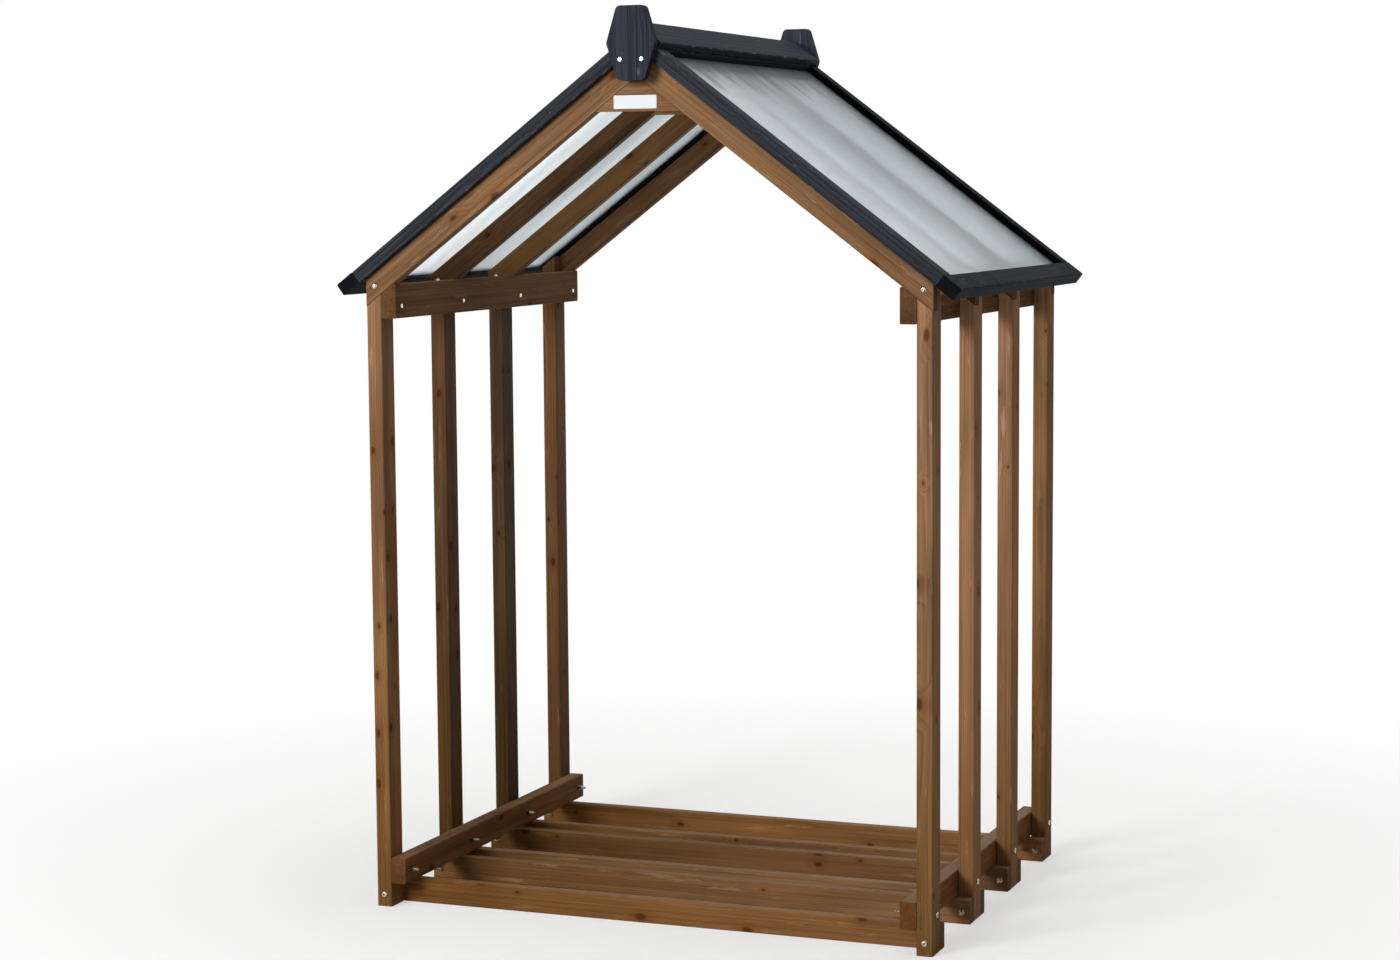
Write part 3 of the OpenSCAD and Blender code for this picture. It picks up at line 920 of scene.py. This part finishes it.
def side_places(side, sign):
    outward, inward = (sign, 0, 0), (-sign, 0, 0)
    inner, outer = (0, 1) if sign > 0 else (1, 0)
    rail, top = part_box(f"{side}_bottom_rail"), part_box(f"{side}_top_rail")
    rail_z = (rail[0].z + rail[1].z) / 2
    for i in range(4):
        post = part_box(f"{side}_post_{i + 1}")
        centre = (post[0] + post[1]) / 2
        heads.append(((post[outer].x, centre.y, rail_z), outward))
        nuts.append(((rail[inner].x, centre.y, rail_z), inward))
        screws.append(((top[inner].x, centre.y, top[0].z + TOP_SCREW_RISE), inward))
        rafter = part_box(f"{side}_rafter_{i + 1}")
        heel_x = post[outer].x - sign * HEEL_INSET
        heel_z = rafter[0].z + HEEL_INSET * math.tan(ROOF_PITCH) + HEEL_RISE
        heel_y, heel_out = (rafter[1].y, BACKWARD) if i == 3 else (rafter[0].y, FORWARD)
        heads.append(((heel_x, heel_y, heel_z), heel_out))
        if i == 0:
            heads.append(((centre.x, post[0].y, bearer_z), FORWARD))
            nuts.append(((centre.x, bearer_high.y, bearer_z), BACKWARD))
        else:
            rear_y = post[1].y if i == 3 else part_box(f"bearer_{2 * i + 1}")[1].y
            nuts.append(((centre.x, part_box(f"bearer_{2 * i}")[0].y, bearer_z), FORWARD))
            heads.append(((centre.x, rear_y, bearer_z), BACKWARD))


side_places("left", -1)
side_places("right", 1)
for finial, face, out in (("front_finial", 0, FORWARD), ("rear_finial", 1, BACKWARD)):
    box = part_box(finial)
    for x in (-FINIAL_SCREW_SIDE, FINIAL_SCREW_SIDE):
        screws.append(((x, box[face].y, box[0].z + FINIAL_SCREW_RISE), out))
print("places", len(heads), len(nuts), len(screws))

# %% [markdown]
# ## Placing the fasteners
# The points and their outward directions become a small mesh, and the tree runs on it as a modifier. Its
# inputs are set by their identifiers before it runs for the first time, and the result is kept as a plain
# mesh.

# %% Place the fasteners
FASTENER_SMOOTH = math.radians(32)


def scatter(name, tree, spots, sizes):
    mesh = bpy.data.meshes.new(name + "_points")
    mesh.from_pydata([spot for spot, _ in spots], [], [])
    write_attribute(mesh, "out", "FLOAT_VECTOR", "POINT", [c for _, out in spots for c in out])
    holder = show(name + "_points", mesh)
    place = holder.modifiers.new("place", "NODES")
    place.node_group = tree
    for socket in tree.interface.items_tree:
        if socket.name in sizes:
            place[socket.identifier] = sizes[socket.name]
    graph = bpy.context.evaluated_depsgraph_get()
    made = bpy.data.meshes.new_from_object(holder.evaluated_get(graph))
    smooth(made, FASTENER_SMOOTH)
    bpy.data.objects.remove(holder)
    piece = show(name, made)
    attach(piece, "root")
    print(name, len(spots), "places", len(made.polygons), "faces")
    return piece


scatter("bolt_heads", bolt_head_tree(), heads, HEAD_SIZES)
scatter("nuts", nut_tree(), nuts, NUT_SIZES)
scatter("screws", screw_tree(), screws, SCREW_SIZES)

# %% [markdown]
# ## Plate
# A thin white plate lies on the front gusset, under the finial. It is a rectangle with small round corners,
# pushed out by its thickness. A bevel softens the rim, which catches the light, and it carries nothing.

# %% Plate
PLATE_WIDTH, PLATE_HEIGHT, PLATE_THICK, PLATE_CORNER = 0.091, 0.0265, 0.0014, 0.0022
PLATE_ASIDE, PLATE_RISE = -0.004, 0.0045
PLATE_RIM = 0.0005
CORNER_STEPS = 4


def plate_outline(face_y, foot):
    reach_x, reach_z = PLATE_WIDTH / 2 - PLATE_CORNER, PLATE_HEIGHT / 2 - PLATE_CORNER
    points = []
    for cx, cz, start in ((1, -1, -90), (1, 1, 0), (-1, 1, 90), (-1, -1, 180)):
        for step in range(CORNER_STEPS + 1):
            angle = math.radians(start + step * 90 / CORNER_STEPS)
            x = cx * reach_x + PLATE_CORNER * math.cos(angle) + PLATE_ASIDE
            z = foot + PLATE_HEIGHT / 2 + cz * reach_z + PLATE_CORNER * math.sin(angle)
            points.append((x, face_y, z))
    return points


def plate():
    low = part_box("gusset_1")[0]
    work = bmesh.new()
    face = work.faces.new([work.verts.new(point) for point in plate_outline(low.y, low.z + PLATE_RISE)])
    pushed = bmesh.ops.extrude_face_region(work, geom=[face])
    for item in pushed["geom"]:
        if isinstance(item, bmesh.types.BMVert):
            item.co.y -= PLATE_THICK
    bmesh.ops.recalc_face_normals(work, faces=work.faces)
    mesh = bpy.data.meshes.new("white_plate")
    work.to_mesh(mesh)
    work.free()
    smooth(mesh)
    mesh.materials.append(PLATE_WHITE)
    piece = show("white_plate", mesh)
    soften = piece.modifiers.new("soft_rim", "BEVEL")
    soften.width = PLATE_RIM
    soften.segments = 2
    soften.limit_method = "ANGLE"
    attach(piece, "root")
    return piece


gable_plate = plate()
print("plate", len(gable_plate.data.polygons), "faces")

# %% [markdown]
# ## Floor
# A pale floor catches a soft shadow and fades to the white of the background. More light would whiten it
# too, but would bleach the timber. So rays that are seen find a pale, slightly glowing floor, and rays that
# only carry light find a grey one. From below the floor is clear, so that the underside can be looked at.

# %% Floor
FLOOR_RADIUS = 40.0
FLOOR_GREY, FLOOR_PALE = (0.45, 0.45, 0.45, 1.0), (0.92, 0.92, 0.92, 1.0)
WHITE = (1.0, 1.0, 1.0, 1.0)
GLOW_NEAR, GLOW_FAR = 0.6, 2.6


def seen_rays(tree):
    rays = add(tree, "ShaderNodeLightPath").outputs
    plain = math_node(tree, "MAXIMUM", rays["Is Camera Ray"], rays["Is Glossy Ray"])
    return math_node(tree, "MAXIMUM", plain, rays["Is Transmission Ray"])


def floor_material():
    material, tree, shader = start_material("pale_floor")
    place = add(tree, "ShaderNodeTexCoord").outputs["Object"]
    away = add(tree, "ShaderNodeVectorMath", {"operation": "LENGTH"}, i0=place).outputs["Value"]
    shader.inputs["Roughness"].default_value = 0.9
    shader.inputs["Specular IOR Level"].default_value = 0.0
    glow = add(tree, "ShaderNodeEmission", None, Color=WHITE, Strength=1.0)
    seen = seen_rays(tree)
    tree.links.new(colour_mix(tree, seen, FLOOR_GREY, FLOOR_PALE), shader.inputs["Base Color"])
    blend = math_node(tree, "MULTIPLY", seen, fade(tree, away, GLOW_NEAR, GLOW_FAR, 0.50, 1.0))
    mixed = add(tree, "ShaderNodeMixShader", None, i0=blend, i1=shader.outputs[0], i2=glow.outputs[0])
    below = add(tree, "ShaderNodeNewGeometry").outputs["Backfacing"]
    clear = add(tree, "ShaderNodeBsdfTransparent")
    sided = add(tree, "ShaderNodeMixShader", None, i0=below, i1=mixed.outputs[0], i2=clear.outputs[0])
    tree.links.new(sided.outputs[0], tree.nodes["Material Output"].inputs["Surface"])
    return material


def floor():
    work = bmesh.new()
    bmesh.ops.create_circle(work, cap_ends=True, segments=96, radius=FLOOR_RADIUS)
    mesh = bpy.data.meshes.new("floor")
    work.to_mesh(mesh)
    work.free()
    mesh.materials.append(floor_material())
    ground = show("floor", mesh)
    return ground


floor_piece = floor()
print("floor", floor_piece.name)

# %% [markdown]
# ## Lamps and sky
# The light of the picture is soft. A wide key lamp stands low at the front left, so that the roof doesn't
# shade the posts. A weak one fills from the right, one hangs overhead and makes the sheets glow, a low one
# behind lights the undersides, and a dim warm sky does the rest. Seen rays find the sky white.

# %% Lamps and sky
SKY_LIGHT = 0.19
SKY_WARM = (1.0, 0.95, 0.88, 1.0)


def lamp(name, at, look_at, size, power):
    data = bpy.data.lights.new(name, "AREA")
    data.shape = "SQUARE"
    data.size = size
    data.energy = power
    piece = show(name, data)
    piece.location = at
    piece.rotation_euler = (Vector(look_at) - Vector(at)).to_track_quat("-Z", "Y").to_euler()


lamp("key", at=(-2.2, -5.2, 2.9), look_at=(0, 0, 0.8), size=2.2, power=260)
lamp("fill", at=(4.6, -2.8, 3.0), look_at=(0, 0, 0.9), size=2.6, power=10)
lamp("over", at=(0.4, 0.6, 5.2), look_at=(0, 0, 0.9), size=3.0, power=120)
lamp("back", at=(-0.6, 4.8, 0.9), look_at=(0, 0, 0.8), size=1.6, power=32)
world = bpy.data.worlds.new("studio")
scene.world = world
world.use_nodes = True
sky = world.node_tree
background = sky.nodes["Background"]
seen = seen_rays(sky)
sky.links.new(colour_mix(sky, seen, SKY_WARM, WHITE), background.inputs["Color"])
sky.links.new(fade(sky, seen, 0.0, 1.0, SKY_LIGHT, 1.0), background.inputs["Strength"])
scene.view_settings.view_transform = "Standard"
